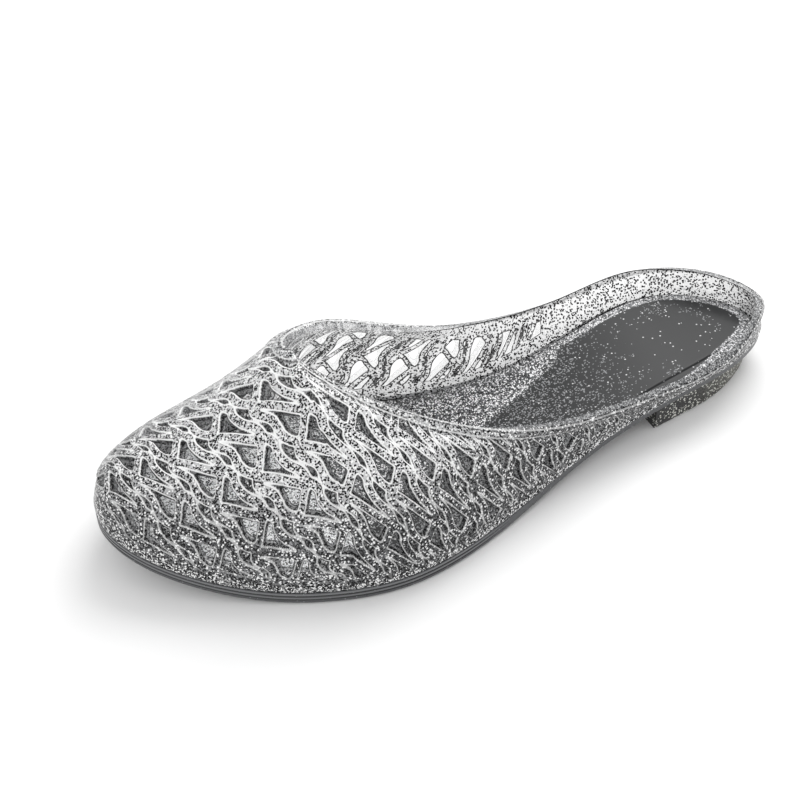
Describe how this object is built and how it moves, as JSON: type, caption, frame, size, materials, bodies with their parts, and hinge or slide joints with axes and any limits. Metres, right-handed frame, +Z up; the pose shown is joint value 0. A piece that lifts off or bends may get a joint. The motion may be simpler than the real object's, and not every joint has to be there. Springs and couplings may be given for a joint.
{
  "type": "jelly slipper",
  "caption": "Flat backless jelly slipper for the left foot: openwork woven-look upper moulded in see-through glitter plastic, on a flat sole with a low heel block.",
  "frame": {"origin": "on the ground under the middle of the shoe's bounding box", "axes": "+Y toward the heel, toe toward -Y, +X toward the outer (lateral) side of the left foot, +Z up"},
  "size_m": [0.0998, 0.2518, 0.0699],
  "materials": {
    "upper_plastic": "glossy see-through moulded plastic with glitter",
    "insole_plastic": "glossy glitter plastic",
    "outsole_plastic": "satin grey moulded plastic",
    "heel_plastic": "satin glitter plastic"
  },
  "bodies": {
    "root": {"upper": "upper_plastic", "insole": "insole_plastic", "outsole": "outsole_plastic", "heel": "heel_plastic"}
  },
  "joints": []
}
